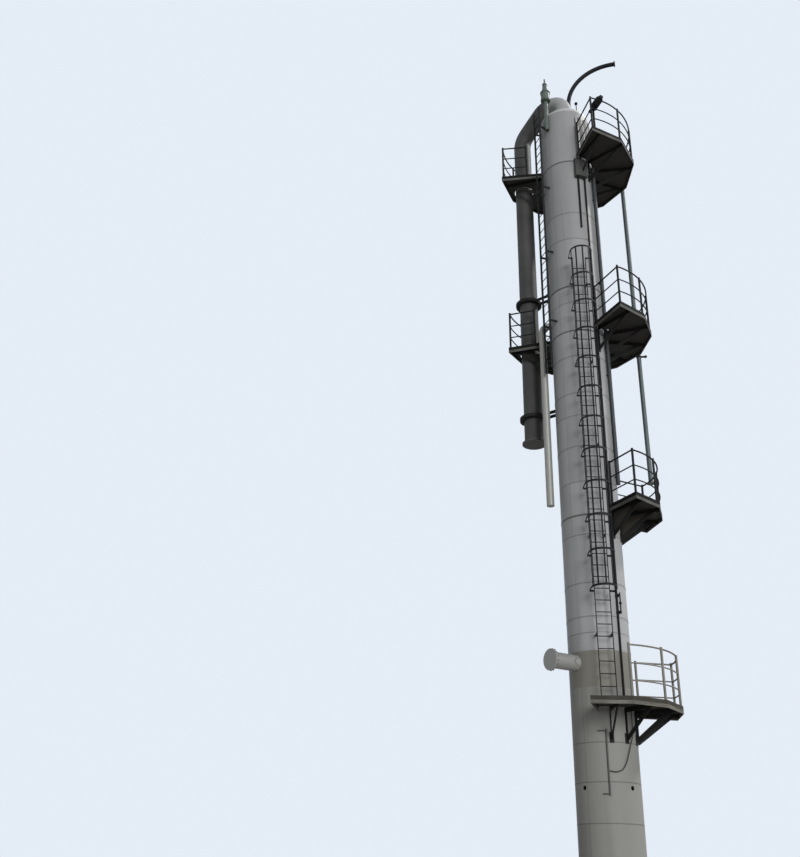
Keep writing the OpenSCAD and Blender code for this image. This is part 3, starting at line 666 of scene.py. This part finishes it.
def make_lamp_hood(paint):
    """The round hood of the platform's lamp, with a domed end."""
    mesh = bmesh.new()
    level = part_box("upper_deck")[1][2] + LAMP_RISE
    near, far = (polar(radius, LAMP_A, level) for radius in LAMP_ENDS)
    tube(mesh, near, far, LAMP_R, sides=24)
    ball(mesh, far, LAMP_R)
    finish_piece("lamp_hood", mesh, paint, smooth=True)


def make_head_knob(paint):
    """A thin stalk with a ball on top; its foot is inside the head."""
    mesh = bmesh.new()
    foot, stalk_end, centre = (polar(KNOB_R, KNOB_A, z) for z in (KNOB_FOOT, KNOB_STALK_END, KNOB_CENTRE))
    tube(mesh, foot, stalk_end, radius=0.014)
    ball(mesh, centre, radius=0.05)
    finish_piece("head_knob", mesh, paint, smooth=True)


def make_reflux_guide(foot, paint):
    """The clamp round the reflux line, its arm towards the platform, and its ear with a ball."""
    mesh = bmesh.new()
    centre = Vector((foot.x, foot.y, CLAMP_Z))
    band(mesh, frame_at(centre, UP), REFLUX_PIPE_R + CLAMP_GAP, REFLUX_PIPE_R + CLAMP_T, CLAMP_H)
    middle = centre + CLAMP_H / 2 * UP
    inward = -Vector((foot.x, foot.y, 0.0)).normalized()
    near, far = (middle + reach * inward for reach in ARM_ENDS)
    tube(mesh, far, near, radius=0.020)
    ear = middle + Vector((EAR_START, 0.0, 0.0))
    tip = ear + Vector((EAR_REACH, 0.0, 0.0))
    tube(mesh, ear, tip, radius=0.028)
    ball(mesh, tip, radius=0.042)
    finish_piece("reflux_guide", mesh, paint, smooth=True)


# Plates


def make_conduit_cover(sheet):
    """The sheet cover over the tops of the cable conduits."""
    mesh = bmesh.new()
    azimuths = spread(*COVER_SPAN, COVER_STEPS)
    loft(mesh, [shell_patch(azimuths, [radius] * len(azimuths), z) for z, radius in COVER_PROFILE])
    finish_piece("conduit_cover", mesh, sheet)


def fold_radius(azimuth, z):
    """The crumpled sheet's distance from the axis: upright folds that sway from side to side with height."""
    sway = sum(reach * math.sin(rate * z) for reach, rate in FOLD_SWAYS)
    fold = abs(math.sin(math.radians(FOLD_RATE * azimuth + sway)))
    return SHELL_R + FOLD_LIFT + FOLD_DEPTH * fold


def make_crumpled_sheet(sheet):
    """The loose, folded sheet on the shell above the upper platform."""
    mesh = bmesh.new()
    azimuths = spread(*CRUMPLED_SPAN, CRUMPLED_STEPS)
    loft(mesh, [
        shell_patch(azimuths, [fold_radius(azimuth, z) for azimuth in azimuths], z)
        for z in spread(CRUMPLED_FOOT, CRUMPLED_FOOT + CRUMPLED_H, CRUMPLED_ROWS)
    ])
    finish_piece("crumpled_sheet", mesh, sheet, smooth=True)


def make_bracket_webs(paint):
    """The plates that close the small platform's knee brackets."""
    mesh = bmesh.new()
    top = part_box("small_deck")[0][2] - CHANNEL_H
    for azimuth in KNEE_AZIMUTHS:
        half = polar(WEB_T / 2, azimuth + 90.0)
        corners = [polar(radius, azimuth, top + z) for radius, z in KNEE_OPENING]
        loft(mesh, [[corner - half for corner in corners], [corner + half for corner in corners]])
    finish_piece("bracket_webs", mesh, paint)


# The column


def shell_finishes():
    """The finishes of the skirt, the shell and its cladding, and the heads."""
    chairs = painted("chair_paint", shade(BEIGE, 0.7), 0.6, blotch=0.15, streak=0.3, rust=0.3, shift=7.0)
    cladding = sheet_metal("cladding", GREY, 0.5, bold=BOLD_JOINTS, faint=FAINT_JOINTS)
    # The lower and middle lengths take a copy of the cladding painted 1.22 times lighter: painted light that
    # offsets the shade the ladder cage and platforms cast on them.
    pale = sheet_metal("cladding_with_painted_light", shade(GREY, 1.22), 0.5, bold=BOLD_JOINTS, faint=FAINT_JOINTS)
    # Within this radius the skirt's bare inside takes painted shade.
    bore = SHELL_R - 0.006
    return {
        "anchor_chairs": chairs,
        "skirt": sheet_metal("skirt_paint", BEIGE, 0.6, shift=1.0, faint=SKIRT_JOINTS, sheets=2, bore=bore),
        "bottom_head": painted("bottom_head_paint", (0.20, 0.19, 0.18), 0.65, rust=0.3, shift=8.0),
        "pressure_shell": painted("shell_steel", (0.3, 0.3, 0.3), 0.5, metal=0.6, blotch=0.1, streak=0.1),
        "sump_cladding": sheet_metal("sump_cladding", (0.165, 0.159, 0.137), 0.55, metal=0.1, shift=12.0),
        # These two take the lighter copy, with its painted light.
        "lower_cladding": pale,
        "middle_cladding": pale,
        "upper_cladding": cladding,
        "top_head": painted("head_sheet", HEAD_TONE, 0.5, blotch=0.1, streak=0.3, shift=5.0),
    }


def line_finishes():
    """The finishes of the lines, the valve, the conduits, the cable and the lamp."""
    black_paint = painted("black_paint", (0.007, 0.007, 0.008), 0.6, streak=0.1, shift=13.0, gloss=0.12)
    valve = (0.060, 0.078, 0.066)
    vent = (0.006, 0.0065, 0.009)
    reflux = (0.050, 0.064, 0.066)
    downpipe = (0.024, 0.027, 0.030)
    elbow = (ELBOW_R, shade(HEAD_TONE, 0.75))
    return {
        "overhead_vapour_line": painted(
            "vapour_sheet", (0.052, 0.051, 0.049), 0.55, streak=0.3, shift=15.0, gloss=0.2, core=elbow
        ),
        "gooseneck_vent": painted("vent_paint", vent, 0.55, blotch=0.25, streak=0.1, shift=3.0, gloss=0.12),
        "relief_valve": painted("valve_paint", valve, 0.5, metal=0.1, streak=0.3, rust=0.2, shift=10.0),
        "reflux_line": painted("reflux_paint", reflux, 0.5, metal=0.1, streak=0.3, shift=11.0),
        "side_draw_line": sheet_metal("draw_sheet", (0.27, 0.27, 0.25), 0.45, metal=0.2, shift=14.0),
        "return_nozzle": sheet_metal("return_sheet", (0.27, 0.27, 0.255), 0.45, metal=0.2, shift=16.0),
        "right_downpipe": painted("downpipe_paint", downpipe, 0.5, streak=0.3, shift=17.0, gloss=0.3),
        "cable_conduits": black_paint,
        "skirt_conduit": painted("skirt_conduit_paint", (0.05, 0.05, 0.045), 0.55, metal=0.1, shift=18.0),
        "hanging_cable": rubber("cable_rubber", (0.018, 0.018, 0.018)),
        "platform_lamp": black_paint,
    }


def edge_tones(level):
    """The tones of a platform's toe board and flange; the lower platform is paler, as in the photo."""
    # The first tone is the toe board's: its dark paint with painted shade on it.
    if level == "lower":
        return (0.04, 0.037, 0.03), (0.15, 0.143, 0.122)
    return (0.007, 0.007, 0.0068), (0.1, 0.1, 0.094)


def flange_top(level):
    """Where a platform's toe board ends and its flange begins."""
    low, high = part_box(level + "_edge")
    return low[2] + 0.45 * (high[2] - low[2])


def steelwork_finishes():
    """The finishes of the base ring, the guides, the ladders and the platforms."""
    dark = painted("frame_paint", (0.012, 0.012, 0.0115), 0.65, blotch=0.3, rust=0.1, shift=6.0, gloss=0.12)
    rail = painted("rail_paint", (0.010, 0.011, 0.012), 0.6, blotch=0.25, rust=0.05, shift=2.0, gloss=0.12)
    worn = (0.13, 0.122, 0.105)
    low_rail = painted("low_rail_paint", worn, 0.6, blotch=0.25, streak=0.3, rust=0.5, shift=4.0)
    plates = chequer("deck_plate", (0.034, 0.033, 0.031))
    table = {
        "base_ring": dark,
        "riser_guides": dark,
        "main_ladder": rail,
        "ladder_cage": rail,
        "left_ladder": rail,
    }
    for level in PLATFORMS:
        table[level + "_deck"] = plates
        table[level + "_edge"] = edge_plate(level + "_edge_paint", *edge_tones(level), flange_top(level))
        table[level + "_brackets"] = dark
        table[level + "_handrail"] = low_rail if level == "lower" else rail
    return table


def dress(nodes):
    """Gives each node its finish."""
    for finishes in (shell_finishes(), line_finishes(), steelwork_finishes()):
        for name, material in finishes.items():
            for slot in nodes[name].material_slots:
                slot.material = material


def make_trim(mounts):
    """Nuts, screws and straps."""
    steel = painted("nut_steel", (0.18, 0.17, 0.16), 0.5, metal=0.6, streak=0.0, rust=0.4, shift=20.0)
    dark = painted("strap_steel", (0.055, 0.055, 0.052), 0.55, metal=0.2, shift=21.0, gloss=0.2)
    bright = painted("screw_steel", (0.3, 0.3, 0.29), 0.45, metal=0.7, blotch=0.1, streak=0.0, shift=22.0)
    make_anchor_nuts(mounts["anchor_bolts"], steel)
    make_flange_nuts(mounts, steel)
    make_lap_screws(bright)
    make_riser_straps(Vector(mounts["riser_foot_face"]["pos_m"]), dark)


def make_fittings(mounts):
    """The small fittings on the shell, the head and the reflux line, and the hood of the lamp."""
    paint = painted("fitting_paint", (0.008, 0.008, 0.009), 0.6, streak=0.1, shift=25.0, gloss=0.12)
    make_sample_fitting(paint)
    make_shell_plug(paint)
    make_lamp_hood(paint)
    make_head_knob(paint)
    make_reflux_guide(Vector(mounts["reflux_foot_face"]["pos_m"]), paint)


def make_plates():
    """The sheets at the upper right of the shell, and the web plates of the small platform's brackets."""
    cover = (0.050, 0.051, 0.048)
    loose = (0.23, 0.23, 0.22)
    web = (0.030, 0.027, 0.022)
    make_conduit_cover(painted("cover_sheet", cover, 0.55, blotch=0.15, streak=0.4, shift=27.0, gloss=0.15))
    make_crumpled_sheet(painted("loose_sheet", loose, 0.5, blotch=0.15, streak=0.4, shift=29.0, gloss=0.2))
    make_bracket_webs(painted("web_paint", web, 0.65, rust=0.15, shift=28.0, gloss=0.15))


def main():
    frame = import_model()
    mounts = {mount["name"]: mount for mount in frame["record"]["mounts"]}
    make_camera()
    make_world()
    make_floor()
    make_sun("key", azimuth=25.0, elevation=48.0, strength=2.3, softness=6.0, tint=(1.0, 0.98, 0.95))
    make_sun("fill", azimuth=-63.0, elevation=12.0, strength=2.8, softness=30.0, tint=(0.97, 0.985, 1.0))
    dress(frame["nodes"])
    make_trim(mounts)
    make_fittings(mounts)
    make_plates()
    bpy.context.scene.view_settings.view_transform = "Standard"


main()
